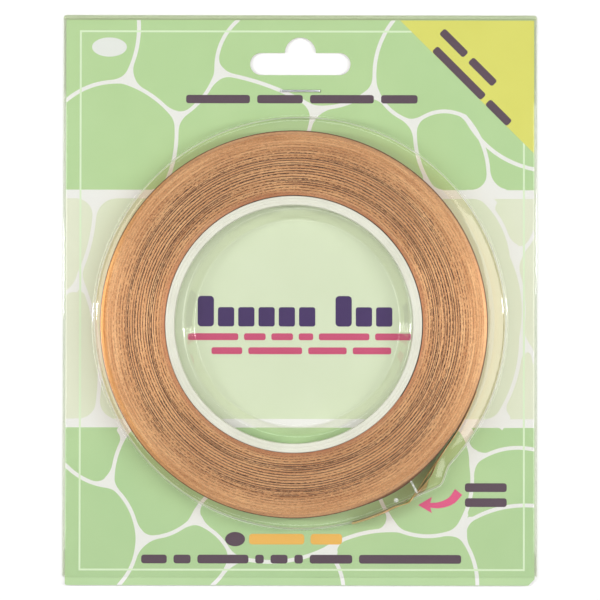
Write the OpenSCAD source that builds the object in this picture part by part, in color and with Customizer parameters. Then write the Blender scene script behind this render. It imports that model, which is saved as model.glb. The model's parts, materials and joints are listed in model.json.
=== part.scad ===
// Copper foil tape roll in a pull-out dispenser pack: a printed card in a clear slide-on blister.
// The pack lies on its back. +X is to the right, +Y towards the hang slot, +Z out of the printed face.
// The origin is at the middle of the pack, in the plane that its turned edges rest on. Millimetres.

/* [Card] */
// Width of the backing card
card_w = 150.6; // [140:0.2:151]
// Height of the backing card
card_h = 181.6; // [176:0.2:184]
// Thickness of the card
card_t = 0.55; // [0.4:0.05:0.8]
// Size of the nick at the card's lower right corner
card_nick = 2; // [1:0.1:4]

/* [Blister sheet] */
// Width of the blister over its turned edges
pack_w = 152.4; // [152.4:0.2:156]
// Height of the blister's flange
flange_h = 180.8; // [178:0.2:184]
// How far the card shows below the flange
card_shows = 2.4; // [1:0.1:4]
// Thickness of the clear sheet
sheet_t = 0.3; // [0.2:0.05:0.4]
// Width of the turned edges behind the card
lip_w = 6; // [4:0.5:10]
// Gap between a turned edge and the back of the card
lip_gap = 0.2; // [0.1:0.05:0.4]
// Radius of the pack's corners
corner_r = 1; // [0.6:0.1:3]

/* [Ring chamber] */
// Distance of the chamber's centre below the middle of the pack
chamber_drop = 7.4; // [4:0.2:10]
// Outer radius of the chamber where it meets the flange
chamber_r = 66.2; // [65.8:0.1:67]
// Height of the chamber's roof above the flange
chamber_h = 7.25; // [7.2:0.05:8]
// How far the outer wall leans in from the flange to the roof
wall_lean = 0.9; // [0.5:0.1:1.1]
// How far the hub sits left of the chamber's centre
hub_shift = 0.9; // [0:0.1:1]
// Radius of the hub at the roof
hub_r = 36.2; // [35.5:0.1:36.3]
// How far the hub narrows from the roof to the floor of the well
hub_lean = 2.6; // [2:0.1:4]
// Radius that rounds the roof's edges
edge_r = 1; // [0.6:0.1:1.4]

/* [Exit spout] */
// Angle where the spout leaves the round wall
spout_start = -43.7; // [-46:0.1:-42]
// Angle of the spout's corner
spout_turn = -48.7; // [-50:0.1:-47]
// Distance of the spout's corner from the chamber's centre
spout_reach = 69.2; // [68.5:0.1:70]
// Angle where the spout meets the round wall again
spout_end = -62.9; // [-65:0.1:-61]
// Width of the slit
slit_w = 1.4; // [1:0.1:2]

/* [Hang slot] */
// Length of the hang slot
slot_w = 32.3; // [30:0.1:34]
// Height of the hang slot's straight part
slot_h = 7.1; // [6:0.1:8]
// Height of the slot's middle above the middle of the pack
slot_up = 75.8; // [74:0.1:77]
// Radius of the round bump for a single peg
slot_bump_r = 5; // [4:0.1:5.5]

/* [Staple] */
// Length of the staple's crown
staple_w = 13; // [10:0.5:14]
// Height of the staple above the middle of the pack
staple_up = 67.1; // [66:0.1:68]
// Width of the flat staple wire
wire_w = 0.7; // [0.5:0.05:0.9]
// Thickness of the flat staple wire
wire_t = 0.4; // [0.3:0.05:0.45]

/* [Tape roll] */
// Width of the tape
tape_w = 6.35; // [6.3:0.01:6.4]
// Outer radius of the wound tape
roll_r = 62; // [50:0.5:62]
// Outer radius of the core
core_r = 41; // [40.5:0.1:42]
// Radius of the core's bore
core_bore_r = 38.1; // [38:0.05:38.4]
// Width of the core
core_w = 6.6; // [6.4:0.05:6.65]
// Where the loose roll lies against the hub, sideways
roll_dx = -1.1; // [-1.1:0.05:0]
// Where the loose roll lies against the hub, lengthways
roll_dy = -0.55; // [-0.6:0.05:0]
// Thickness of the foil with its dark adhesive
foil_t = 0.09; // [0.08:0.01:0.12]
// Thickness of the release paper
liner_t = 0.11; // [0.08:0.01:0.14]
// Angle at which the tape leaves the roll
leave_angle = -34; // [-36:0.5:-32]
// Angle of the free end of the tape along the chamber wall
tail_end = -76; // [-84:1:-70]

/* [Hidden] */

// Heights of the layers, from the turned edges up
card_z = sheet_t + lip_gap;
flange_z = card_z + card_t;
flange_top = flange_z + sheet_t;
roof_top = flange_top + chamber_h;
roof_under = roof_top - sheet_t;
core_z = flange_z + 0.3;
tape_z = core_z + (core_w - tape_w) / 2;
wall_h = roof_top - flange_z;
cut = 1;

// Places of the flange and the card: the whole pack is centred on the origin
pack_h = flange_h + card_shows;
flange_y = card_shows / 2;
card_y = (card_h - pack_h) / 2;
chamber_c = [0, -chamber_drop];
hub_c = chamber_c + [-hub_shift, 0];
roll_c = hub_c + [roll_dx, roll_dy];

// The spout's outline and the line that the tape follows out of it
function polar(r, a) = [r * cos(a), r * sin(a)];
function unit(v) = v / norm(v);
spout_a = chamber_c + polar(chamber_r, spout_start);
spout_b = chamber_c + polar(spout_reach, spout_turn);
spout_c = chamber_c + polar(chamber_r, spout_end);
face_dir = unit(spout_c - spout_b);
face_out = [-face_dir.y, face_dir.x];
leave_dir = [sin(leave_angle), -cos(leave_angle)];
lead_clear = 0.3 + liner_t;
leave_p = roll_c + polar(roll_r + lead_clear, leave_angle);
to_face = (spout_b - leave_p) * face_out / (leave_dir * face_out);
slit_p = leave_p + to_face * leave_dir;

// The free end hangs off the slit, and lies this far outside the wall
tail_off = 0.55;
hinge_gap = 0.3;
tail_p = slit_p + leave_dir * tail_off / (leave_dir * face_out);
tail_step = 2;
tail_r = chamber_r + tail_off;

// Points of a quarter-round edge that starts at angle a0 and turns to a1
function bend(c, r, a0, a1, n = 5) = [for (i = [0:n]) c + polar(r, a0 + (a1 - a0) * i / n)];

// Places and sizes of the rib and the pip that point at the slit
rib_c = [36.4, -59.7];
rib_turn = -62.5;
rib_l = 4.6;
rib_w = 0.8;
pip_c = [30.7, -63.9];
pip_r = 0.8;

// A strip's outline: the line moved sideways from near to far along each point's own normal
function heading(line, i) =
    unit(line[min(i + 1, len(line) - 1)] - line[max(i - 1, 0)]);
function aside(line, d) =
    [for (i = [0:len(line) - 1]) let (h = heading(line, i)) line[i] + d * [-h.y, h.x]];
function turned_over(line) = [for (i = [len(line) - 1:-1:0]) line[i]];

module strip(line, near, far, z, h)
{
    translate([0, 0, z])
        linear_extrude(height = h)
            polygon(concat(aside(line, near), turned_over(aside(line, far))));
}

module rounded_plate(w, h, r)
{
    square([w, h - 2 * r], center = true);
    square([w - 2 * r, h], center = true);
    for (sx = [-1, 1], sy = [-1, 1])
        translate([sx * (w / 2 - r), sy * (h / 2 - r)])
            circle(r = r, $fn = 48);
}

module hang_slot()
{
    translate([0, slot_up]) {
        square([slot_w - slot_h, slot_h], center = true);
        for (s = [-1, 1])
            translate([s * (slot_w - slot_h) / 2, 0])
                circle(d = slot_h, $fn = 48);
        translate([0, slot_h / 2])
            circle(r = slot_bump_r, $fn = 64);
    }
}

// Holes that the staple's legs have pierced
module staple_holes()
{
    for (s = [-1, 1])
        translate([s * (staple_w - wire_t) / 2, staple_up])
            square([wire_t + 0.1, wire_w + 0.1], center = true);
}

// The solid outer form of the chamber, or its hollow when the sheet is taken off
module chamber_form(off)
{
    top = roof_top - off;
    r_low = chamber_r - off;
    r_top = chamber_r - wall_lean - off;
    r_edge = edge_r - off;
    translate([chamber_c.x, chamber_c.y, 0])
        rotate_extrude($fn = 128)
            polygon(concat(
                [[0, flange_z - cut * off], [r_low, flange_z - cut * off], [r_low, flange_top]],
                bend([r_top - r_edge, top - r_edge], r_edge, 8, 90),
                [[0, top]]));
}

// The open well inside the hub, or the hub's outer form when the sheet is added
module well_form(off)
{
    floor_z = flange_top - off;
    r_top = hub_r - sheet_t + off;
    r_low = r_top - hub_lean;
    r_edge = edge_r + off;
    translate([hub_c.x, hub_c.y, 0])
        rotate_extrude($fn = 128)
            polygon(concat(
                [[0, floor_z], [r_low, floor_z]],
                turned_over(bend([r_top + edge_r, roof_top - edge_r], edge_r - off, 90, 160)),
                [[r_top + edge_r, roof_top + cut], [0, roof_top + cut]]));
}

// The spout's outline, or its hollow when the sheet is taken off
module spout_form(off)
{
    middle = chamber_c + polar(chamber_r - 6, (spout_start + spout_end) / 2);
    toward_a = unit(spout_b - spout_a);
    side_out = [-toward_a.y, toward_a.x];
    side_off = -off * side_out;
    face_off = -off * face_out;
    corner_off = spout_b - off * (side_out + face_out) / (1 + side_out * face_out);
    translate([0, 0, flange_z - cut * off])
        linear_extrude(height = wall_h - off + cut * off)
            polygon([spout_a + side_off, corner_off, spout_c + face_off, middle]);
}

// Turned edges that hold the card: three outer sides and the lips behind it
module turned_edges()
{
    inner_w = pack_w - 2 * sheet_t;
    translate([0, flange_y, 0]) {
        linear_extrude(height = flange_top)
            difference() {
                rounded_plate(pack_w, flange_h, corner_r);
                translate([0, -corner_r])
                    square([inner_w, flange_h + 2 * (corner_r - sheet_t)], center = true);
            }
        linear_extrude(height = sheet_t)
            difference() {
                rounded_plate(pack_w, flange_h, corner_r);
                translate([0, -lip_w])
                    square([pack_w - 2 * lip_w, flange_h], center = true);
            }
    }
}

module backing_card()
{
    color([0.70, 0.82, 0.60])
        translate([0, 0, card_z])
            linear_extrude(height = card_t)
                difference() {
                    translate([0, card_y])
                        rounded_plate(card_w, card_h, corner_r - sheet_t);
                    hang_slot();
                    staple_holes();
                    translate([card_w / 2, card_y - card_h / 2])
                        rotate(45)
                            square(card_nick * sqrt(2), center = true);
                }
}

module blister_shell()
{
    color([0.92, 0.95, 0.93, 0.35]) {
        difference() {
            union() {
                translate([0, flange_y, flange_z])
                    linear_extrude(height = sheet_t)
                        rounded_plate(pack_w, flange_h, corner_r);
                difference() {
                    union() {
                        chamber_form(0);
                        spout_form(0);
                    }
                    well_form(0);
                }
                guide_marks();
            }
            difference() {
                union() {
                    chamber_form(sheet_t);
                    spout_form(sheet_t);
                }
                well_form(sheet_t);
            }
            exit_slit();
            translate([0, 0, flange_z - cut])
                linear_extrude(height = 3 * cut) {
                    hang_slot();
                    staple_holes();
                }
        }
        turned_edges();
    }
}

// The slit in the spout's face that the tape comes out of
module exit_slit()
{
    slit_l = 2 * (sheet_t + slit_w) / (leave_dir * face_out);
    translate([slit_p.x, slit_p.y, flange_top])
        rotate(atan2(leave_dir.y, leave_dir.x))
            translate([-slit_l / 2, -slit_w / 2, 0])
                cube([slit_l, slit_w, tape_w + 0.45]);
}

// A raised rib and a pip beside the spout, carried down to the turned edge of the roof
module guide_marks()
{
    mark_low = roof_top - edge_r;
    mark_high = roof_top - sheet_t / 2 + 0.55;
    translate([rib_c.x, rib_c.y, mark_low])
        rotate(rib_turn)
            translate([-rib_l / 2, -rib_w / 2, 0])
                cube([rib_l, rib_w, mark_high - mark_low]);
    translate([pip_c.x, pip_c.y, mark_low])
        cylinder(r = pip_r, h = mark_high - mark_low, $fn = 24);
}

module staple()
{
    crown_z = flange_top + 0.02;
    clinch_z = 0.05;
    clinch_l = 5.4;
    color([0.75, 0.76, 0.78]) {
        translate([-staple_w / 2, staple_up - wire_w / 2, crown_z])
            cube([staple_w, wire_w, wire_t]);
        for (s = [0, 1])
            mirror([s, 0, 0]) {
                translate([staple_w / 2 - wire_t, staple_up - wire_w / 2, clinch_z])
                    cube([wire_t, wire_w, crown_z + wire_t - clinch_z]);
                translate([staple_w / 2 - clinch_l, staple_up - wire_w / 2, clinch_z])
                    cube([clinch_l, wire_w, wire_t]);
            }
    }
}

module roll_core()
{
    soft = 0.4;
    color([0.93, 0.92, 0.88])
        translate([roll_c.x, roll_c.y, core_z])
            rotate_extrude($fn = 128)
                polygon([[core_bore_r, soft], [core_bore_r + soft, 0], [core_r - soft, 0],
                         [core_r, soft], [core_r, core_w - soft], [core_r - soft, core_w],
                         [core_bore_r + soft, core_w], [core_bore_r, core_w - soft]]);
}

module foil_winding()
{
    color([0.78, 0.56, 0.41])
        translate([roll_c.x, roll_c.y, tape_z])
            difference() {
                cylinder(r = roll_r, h = tape_w, $fn = 160);
                translate([0, 0, -cut])
                    cylinder(r = core_r + 0.02, h = tape_w + 2 * cut, $fn = 128);
            }
}

// The tape's line from the roll to the slit, just clear of the roll, so that the roll can turn
lead_line = [leave_p, tail_p - hinge_gap * leave_dir];
// The tape's line outside: along the spout's face, then round the wall
tail_line = concat(
    [tail_p + hinge_gap * face_dir, spout_c + tail_off * face_out],
    [for (a = [spout_end - tail_step:-tail_step:tail_end]) chamber_c + polar(tail_r, a)]);

module foil_lead()
{
    color([0.72, 0.50, 0.34])
        strip(lead_line, 0, foil_t, tape_z, tape_w);
}

module liner_lead()
{
    color([0.52, 0.42, 0.28])
        strip(lead_line, -liner_t, 0, tape_z, tape_w);
}

module foil_tail()
{
    color([0.80, 0.60, 0.44])
        strip(tail_line, 0, foil_t, tape_z, tape_w);
}

module liner_tail()
{
    color([0.52, 0.42, 0.28])
        strip(tail_line, -liner_t, 0, tape_z, tape_w);
}

backing_card();
blister_shell();
staple();
roll_core();
foil_winding();
foil_lead();
liner_lead();
foil_tail();
liner_tail();
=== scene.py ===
"""The looks of a copper foil tape roll in its clear dispenser pack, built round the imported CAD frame.

The pack lies on its back, +Z out of the printed face and +Y towards the hang slot. Sizes in this file
are in millimetres until a mesh is made, and places come from the frame's own boxes and joints.
"""
import json
import math
import random

import bmesh
import bpy
import numpy as np
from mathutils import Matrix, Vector, noise


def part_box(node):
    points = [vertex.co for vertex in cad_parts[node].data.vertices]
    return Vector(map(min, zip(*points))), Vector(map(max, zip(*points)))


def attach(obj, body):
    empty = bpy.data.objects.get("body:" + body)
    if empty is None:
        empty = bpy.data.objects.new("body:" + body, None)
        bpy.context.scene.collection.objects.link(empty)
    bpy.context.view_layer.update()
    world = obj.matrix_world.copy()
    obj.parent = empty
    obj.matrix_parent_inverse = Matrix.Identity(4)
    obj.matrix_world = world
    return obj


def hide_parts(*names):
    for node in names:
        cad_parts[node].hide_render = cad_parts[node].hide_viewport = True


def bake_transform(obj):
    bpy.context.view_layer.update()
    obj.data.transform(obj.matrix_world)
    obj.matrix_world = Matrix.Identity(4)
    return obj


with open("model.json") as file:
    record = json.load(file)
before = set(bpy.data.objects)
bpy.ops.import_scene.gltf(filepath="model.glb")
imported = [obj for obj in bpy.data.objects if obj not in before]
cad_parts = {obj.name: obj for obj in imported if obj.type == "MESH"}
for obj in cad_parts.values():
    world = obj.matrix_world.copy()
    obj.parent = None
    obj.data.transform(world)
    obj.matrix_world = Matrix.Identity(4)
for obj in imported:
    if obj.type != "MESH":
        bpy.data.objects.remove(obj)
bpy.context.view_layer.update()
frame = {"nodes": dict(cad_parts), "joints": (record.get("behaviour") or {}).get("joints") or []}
MM = 0.001


# ---------------- places, from the frame

def node_box(name):
    """Lowest and highest corner of a CAD node, in mm."""
    low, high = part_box(name)
    return np.array(low) / MM, np.array(high) / MM


CARD_LOW, CARD_HIGH = node_box("backing_card")
SHELL_LOW, SHELL_HIGH = node_box("blister_shell")
TAPE_LOW, TAPE_HIGH = node_box("foil_winding")
CORE_LOW, CORE_HIGH = node_box("roll_core")
STAPLE_LOW, STAPLE_HIGH = node_box("staple")
ROLL_C = (TAPE_LOW[:2] + TAPE_HIGH[:2]) / 2
ROLL_R = (TAPE_HIGH[0] - TAPE_LOW[0]) / 2
CORE_R = (CORE_HIGH[0] - CORE_LOW[0]) / 2
CORE_BORE_R = 38.1
HINGE = next(np.array(j["pos_m"][:2]) / MM for j in frame["joints"] if j["name"] == "tape_end_swing")
CARD_TOP = CARD_HIGH[2]

# The blister's own dimensions, as in the CAD source
CHAMBER_C = np.array([0.0, -7.4])
HUB_C = np.array([-0.9, -7.4])
CHAMBER_R = 66.2
WALL_LEAN = 0.9
HUB_R = 35.9
HUB_LEAN = 2.6
SHEET_T = 0.26
FLANGE_Z = CARD_TOP + 0.08 + SHEET_T / 2
ROOF_Z = 8.6 - SHEET_T / 2
SPOUT_START, SPOUT_TURN, SPOUT_END = -43.7, -48.7, -62.9
SPOUT_REACH = 69.2
LIP_W = 6.0
CORNER_R = 1.0 - SHEET_T / 2
SLOT_W, SLOT_H, SLOT_UP, SLOT_BUMP_R = 32.3, 7.1, 75.8, 5.0
LEAVE_ANGLE = -34.0
FREE_END_ANGLE = -76.1
FREE_END_OFF = 0.55
TAPE_TURNS = 101
# The rib and the pip beside the slit: middle, turn, length and width
MOUNDS = (((36.4, -59.7), -62.5, 4.6, 0.8), ((30.7, -63.9), 0, 1.6, 1.6))
# A gap between two turns from which the release paper shows
SPREAD_GAP = 0.6
# The print's middle panel
PANEL_TOP, PANEL_LOW = 33.9, -39.5


def polar(r, degrees):
    a = math.radians(degrees)
    return np.array([r * math.cos(a), r * math.sin(a)])


def arc(centre, r, start, turn, steps):
    """Points along a circle, in degrees, with both of its ends."""
    return [np.asarray(centre) + polar(r, start + turn * k / steps) for k in range(steps + 1)]


def unit(v):
    return v / np.linalg.norm(v)


def wave(x, y, z=0.0):
    """Smooth noise from -1 to 1, the same in every run."""
    return noise.noise(Vector((x, y, z)))


# ---------------- mesh helpers

def mesh_piece(name, points, faces, materials, face_material=None, smooth=True, at=(0, 0, 0)):
    """A mesh object whose points are given in mm in the row frame, with its origin at a place in mm."""
    mesh = bpy.data.meshes.new(name)
    shifted = (np.asarray(points, float) - np.asarray(at, float)) * MM
    mesh.from_pydata(shifted.tolist(), [], [list(f) for f in faces])
    for material in materials:
        mesh.materials.append(material)
    if face_material is not None:
        mesh.polygons.foreach_set("material_index", np.asarray(face_material, np.int32))
    mesh.polygons.foreach_set("use_smooth", [smooth] * len(mesh.polygons))
    mesh.update()
    piece = bpy.data.objects.new(name, mesh)
    bpy.context.scene.collection.objects.link(piece)
    piece.location = Vector(np.asarray(at, float) * MM)
    return piece


def apply_modifiers(piece):
    """Makes the piece's evaluated mesh its own, so that nothing is left to a modifier."""
    graph = bpy.context.evaluated_depsgraph_get()
    mesh = bpy.data.meshes.new_from_object(piece.evaluated_get(graph))
    piece.modifiers.clear()
    old = piece.data
    piece.data = mesh
    bpy.data.meshes.remove(old)


def sharpen(piece, degrees):
    piece.data.set_sharp_from_angle(angle=math.radians(degrees))


def round_path(corners, radii, steps=5):
    """The polyline through corners with each inner corner rounded to its radius: always the same count."""
    path = [np.array(corners[0], float)]
    for i in range(1, len(corners) - 1):
        before, here, after = (np.array(corners[j], float) for j in (i - 1, i, i + 1))
        into, out = unit(here - before), unit(after - here)
        half = math.acos(max(-1, min(1, float(into @ out)))) / 2
        reach = radii[i - 1] * math.tan(half)
        start = here - into * reach
        side = np.array([-into[1], into[0]])
        if side @ out < 0:
            side = -side
        centre = start + side * radii[i - 1]
        for k in range(steps + 1):
            turn = 2 * half * k / steps
            path.append(centre - side * radii[i - 1] * math.cos(turn) + into * radii[i - 1] * math.sin(turn))
    path.append(np.array(corners[-1], float))
    return path


def smooth_line(points, per_span=10):
    """A Catmull-Rom curve through the points."""
    p = [np.array(q, float) for q in points]
    p = [2 * p[0] - p[1], *p, 2 * p[-1] - p[-2]]
    line = []
    for i in range(1, len(p) - 2):
        for k in range(per_span):
            t = k / per_span
            line.append(0.5 * (2 * p[i] + (p[i + 1] - p[i - 1]) * t
                               + (2 * p[i - 1] - 5 * p[i] + 4 * p[i + 1] - p[i + 2]) * t * t
                               + (3 * p[i] - p[i - 1] - 3 * p[i + 1] + p[i + 2]) * t ** 3))
    line.append(p[-2])
    return np.array(line)


def normals_2d(line):
    ahead = np.gradient(line, axis=0)
    ahead /= np.linalg.norm(ahead, axis=1)[:, None]
    return np.stack([-ahead[:, 1], ahead[:, 0]], 1)


def distances(line):
    """How far along a line each of its points lies."""
    return np.concatenate([[0], np.cumsum(np.linalg.norm(np.diff(line, axis=0), axis=1))])


# ---------------- materials

class Shader:
    """Builds one material's node tree."""

    def __init__(self, name):
        self.material = bpy.data.materials.new(name)
        self.material.use_nodes = True
        self.nodes = self.material.node_tree.nodes
        self.links = self.material.node_tree.links
        self.nodes.clear()
        self.output = self.add("ShaderNodeOutputMaterial")

    def add(self, kind, inputs=None, **settings):
        made = self.nodes.new(kind)
        for key, value in settings.items():
            setattr(made, key, value)
        for key, value in (inputs or {}).items():
            self.put(made.inputs[key], value)
        return made

    def put(self, socket, value):
        if isinstance(value, bpy.types.NodeSocket):
            self.links.new(value, socket)
        else:
            socket.default_value = value

    def place(self):
        return self.add("ShaderNodeTexCoord").outputs["Object"]

    def maths(self, operation, a, b=0.0, c=0.0):
        made = self.add("ShaderNodeMath", operation=operation)
        for socket, value in zip(made.inputs, (a, b, c)):
            self.put(socket, value)
        return made.outputs[0]

    def times(self, first, *others):
        """The values' product."""
        for other in others:
            first = self.maths("MULTIPLY", first, other)
        return first

    def above(self, value, limit):
        return self.maths("GREATER_THAN", value, limit)

    def below(self, value, limit):
        return self.maths("LESS_THAN", value, limit)

    def from_axis(self, x, y):
        """How far a place is from an upright axis at 0."""
        return self.maths("SQRT", self.maths("ADD", self.times(x, x), self.times(y, y)))

    def facing_shader(self, kind, up):
        """A near-white diffuse or translucent surface that takes its light as if it lay flat, used for
        painted highlights.
        """
        normal = self.add("ShaderNodeCombineXYZ", {0: 0.0, 1: 0.0, 2: up}).outputs[0]
        return self.add(kind, {"Color": (1.0, 1.0, 0.97, 1), "Normal": normal}).outputs[0]

    def show(self, shader):
        self.links.new(shader.outputs[0], self.output.inputs["Surface"])
        return self.material

    def xyz(self, vector):
        return self.add("ShaderNodeSeparateXYZ", {0: vector}).outputs

    def stretched(self, vector, scale):
        return self.add("ShaderNodeMapping", {"Vector": vector, "Scale": scale}).outputs[0]

    def noise(self, vector, scale, detail=3.0, roughness=0.55):
        made = self.add("ShaderNodeTexNoise",
                        {"Vector": vector, "Scale": scale, "Detail": detail, "Roughness": roughness})
        return made.outputs["Fac"]

    def ramp(self, value, *stops):
        """stops are (position, colour or grey)."""
        made = self.add("ShaderNodeValToRGB", {0: value})
        ramp = made.color_ramp
        while len(ramp.elements) < len(stops):
            ramp.elements.new(0.5)
        for element, (position, colour) in zip(ramp.elements, stops):
            element.position = position
            grey = isinstance(colour, (int, float))
            element.color = (colour, colour, colour, 1) if grey else (*colour, 1)
        return made.outputs[0]

    def mix(self, share, a, b, blend="MIX"):
        made = self.add("ShaderNodeMix", data_type="RGBA", blend_type=blend)
        self.put(made.inputs[0], share)
        for socket, value in ((made.inputs[6], a), (made.inputs[7], b)):
            self.put(socket, value if isinstance(value, bpy.types.NodeSocket) else (*value, 1))
        return made.outputs[2]

    def bump(self, height, strength, distance):
        return self.add("ShaderNodeBump",
                        {"Height": height, "Strength": strength, "Distance": distance}).outputs[0]

    def principled(self, **inputs):
        names = {key.replace("_", " "): value for key, value in inputs.items()}
        return self.show(self.add("ShaderNodeBsdfPrincipled", names))


def srgb(r, g, b):
    """An sRGB colour of 0 to 255 as linear light."""
    def linear(c):
        c /= 255
        return c / 12.92 if c <= 0.04045 else ((c + 0.055) / 1.055) ** 2.4
    return tuple(linear(float(c)) for c in (r, g, b))


GREEN = srgb(183, 213, 156)
GREEN_LOW = srgb(177, 207, 155)
PALE_GREEN = srgb(218, 226, 198)
BOARD = srgb(226, 222, 208)
WHITE_INK = srgb(238, 236, 234)
YELLOW_INK = srgb(222, 219, 104)
PLUM_INK = srgb(88, 66, 82)
PURPLE_INK = srgb(62, 34, 96)
CRIMSON_INK = srgb(204, 76, 118)
ORANGE_INK = srgb(240, 184, 88)
PINK_INK = srgb(230, 88, 138)
RULE_INK = srgb(222, 240, 206)
BADGE_INK = srgb(232, 233, 230)

# What one face of the clear sheet lets through, and where each tint and the painted highlight band at the
# wall's foot lie; the cream tint over the gap beside the roll is painted warm bounce light off the copper
CLEAR_TINT = (0.985, 0.99, 0.982)
LIP_TINT = (0.892, 0.915, 0.848)
BOUNCE_LIGHT_TINT = (0.992, 0.968, 0.885)
EDGE_ON_TINT = (0.86, 0.88, 0.76)
LIP_TOP, BOUNCE_LIGHT_FROM = 0.6, 4.0
GLINT_BAND_LOW, GLINT_BAND_HIGH = FLANGE_Z + SHEET_T / 2 + 0.22, FLANGE_Z + 0.75
SLIT_SIDE = -39.7


def halftone(s, place, pitch=0.00035):
    """A fine screen of printed dots, as a value round 0.5."""
    x, y, _ = s.xyz(place)
    across = s.maths("SINE", s.times(s.maths("ADD", x, y), math.pi / pitch))
    along = s.maths("SINE", s.times(s.maths("SUBTRACT", x, y), math.pi / pitch))
    return s.maths("MULTIPLY_ADD", s.times(across, along), 0.5, 0.5)


def board_surface(s, colour, coat=0.35):
    """Coated board under ink: faint fibre in the gloss and the relief."""
    place = s.place()
    fibre = s.noise(s.stretched(place, (1, 2.5, 1)), 900, 4)
    mottle = s.noise(place, 60, 3)
    tone = s.mix(s.ramp(mottle, (0.3, 0.0), (0.7, 0.10)), colour, (1, 1, 1), "SOFT_LIGHT")
    rough = s.maths("MULTIPLY_ADD", fibre, 0.12, 0.38)
    return s.principled(Base_Color=tone, Roughness=rough, Specular_IOR_Level=coat,
                        Normal=s.bump(fibre, 0.12, 0.00004))


def ink(name, colour):
    s = Shader(name)
    screen = halftone(s, s.place())
    dark = tuple(c * 0.93 for c in colour)
    return board_surface(s, s.mix(s.times(screen, 0.6), colour, dark))


def card_material():
    """Green printed face with a paler middle panel, and bare board on the edges and the back."""
    s = Shader("printed_card")
    place = s.place()
    x, y, _ = s.xyz(place)
    up = s.add("ShaderNodeNewGeometry").outputs["Normal"]
    face = s.above(s.xyz(up)[2], 0.5)
    middle = s.times(s.below(y, PANEL_TOP * MM), s.above(y, PANEL_LOW * MM))
    slope = s.maths("MULTIPLY_ADD", y, 1 / (CARD_HIGH[1] - CARD_LOW[1]) / MM, 0.5)
    cloud = s.noise(s.stretched(place, (1, 0.6, 1)), 26, 2)
    green = s.mix(slope, GREEN_LOW, GREEN)
    green = s.mix(s.ramp(cloud, (0.35, 0.0), (0.65, 0.35)), green, srgb(190, 214, 158))
    outer = s.ramp(s.maths("ABSOLUTE", s.times(x, 10.0)), (0.45, 0.0), (0.72, 1.0))
    printed = s.mix(middle, green, s.mix(outer, PALE_GREEN, srgb(228, 229, 208)))
    printed = s.mix(s.times(halftone(s, place), 0.10), printed, srgb(140, 190, 120))
    return board_surface(s, s.mix(face, BOARD, printed))


def plastic_material():
    """Clear glossy sheet: a mirror by angle, where light enters it, over a faintly tinted view through, with
    painted highlights on steep faces and at the wall's foot by the slit.
    """
    s = Shader("clear_plastic")
    place = s.place()
    flow = s.noise(s.stretched(place, (1, 1.6, 1)), 55, 2)
    relief = s.bump(flow, 0.25, 0.0002)
    facing = s.add("ShaderNodeLayerWeight", {"Blend": 0.5}).outputs["Facing"]
    x, y, z = s.xyz(place)
    across, along = s.maths("SUBTRACT", x, CHAMBER_C[0] * MM), s.maths("SUBTRACT", y, CHAMBER_C[1] * MM)
    radius = s.from_axis(across, along)

    # The view through: greener where the sheet is turned over beyond the card, and over the gap by the roll a
    # cream tint, strongest to the left and right, that is painted warm bounce light off the copper
    beyond_card = s.maths("MAXIMUM", s.below(z, LIP_TOP * MM), s.above(y, CARD_HIGH[1] * MM))
    tint = s.mix(beyond_card, CLEAR_TINT, LIP_TINT)
    sideways = s.maths("POWER", s.maths("DIVIDE", s.maths("ABSOLUTE", across), radius), 1.5)
    painted_bounce_light = s.times(s.above(z, BOUNCE_LIGHT_FROM * MM), s.above(radius, ROLL_R * MM), sideways)
    tint = s.mix(painted_bounce_light, tint, BOUNCE_LIGHT_TINT)
    tint = s.mix(s.maths("POWER", facing, 2.5), tint, EDGE_ON_TINT)
    through = s.add("ShaderNodeBsdfTransparent", {"Color": tint})

    # Painted highlights: a white share that takes its light as if it faced up, on steep faces and on the fold
    # at the wall's foot on the side of the slit, standing in for the glints along the walls
    painted_glint = s.add("ShaderNodeAddShader", {0: s.facing_shader("ShaderNodeBsdfDiffuse", 1.0),
                                         1: s.facing_shader("ShaderNodeBsdfTranslucent", -1.0)})
    fold = s.times(s.above(z, GLINT_BAND_LOW * MM), s.below(z, GLINT_BAND_HIGH * MM),
                   s.above(radius, (CHAMBER_R - 2) * MM))
    out_x, out_y = polar(1, SLIT_SIDE)
    towards_slit = s.maths("DIVIDE", s.maths("ADD", s.times(across, out_x), s.times(along, out_y)), radius)
    fold = s.times(fold, s.ramp(towards_slit, (0.1, 0.0), (0.35, 1.0)))
    painted_glint_share = s.maths("MAXIMUM", s.maths("POWER", facing, 7.5), fold)
    body = s.add("ShaderNodeMixShader", {0: painted_glint_share, 1: through.outputs[0], 2: painted_glint.outputs[0]})

    gloss = s.add("ShaderNodeBsdfGlossy", {"Color": (1, 1, 1, 1), "Roughness": 0.045, "Normal": relief})
    angle = s.add("ShaderNodeFresnel", {"IOR": 1.65, "Normal": relief}).outputs[0]
    leaving = s.add("ShaderNodeNewGeometry").outputs["Backfacing"]
    share = s.times(angle, s.maths("SUBTRACT", 1.0, leaving))
    return s.show(s.add("ShaderNodeMixShader", {0: share, 1: body.outputs[0], 2: gloss.outputs[0]}))


def rib_glint_material():
    """Painted highlight on the rib and the pip beside the slit: a lit near-white share over the clear sheet
    that stands in for the glints on them.
    """
    s = Shader("rib_painted_glint")
    place = s.place()
    glint_speckle = s.noise(place, 900, 3)
    through = s.add("ShaderNodeBsdfTransparent", {"Color": (0.93, 0.94, 0.92, 1)})
    white = s.add("ShaderNodeBsdfPrincipled",
                  {"Base Color": s.ramp(glint_speckle, (0.3, srgb(226, 230, 226)), (0.7, srgb(255, 255, 252))),
                   "Roughness": 0.22, "Normal": s.bump(glint_speckle, 0.2, 0.00005)})
    share = s.ramp(glint_speckle, (0.35, 0.35), (0.65, 0.75))
    return s.show(s.add("ShaderNodeMixShader", {0: share, 1: through.outputs[0], 2: white.outputs[0]}))


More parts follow.
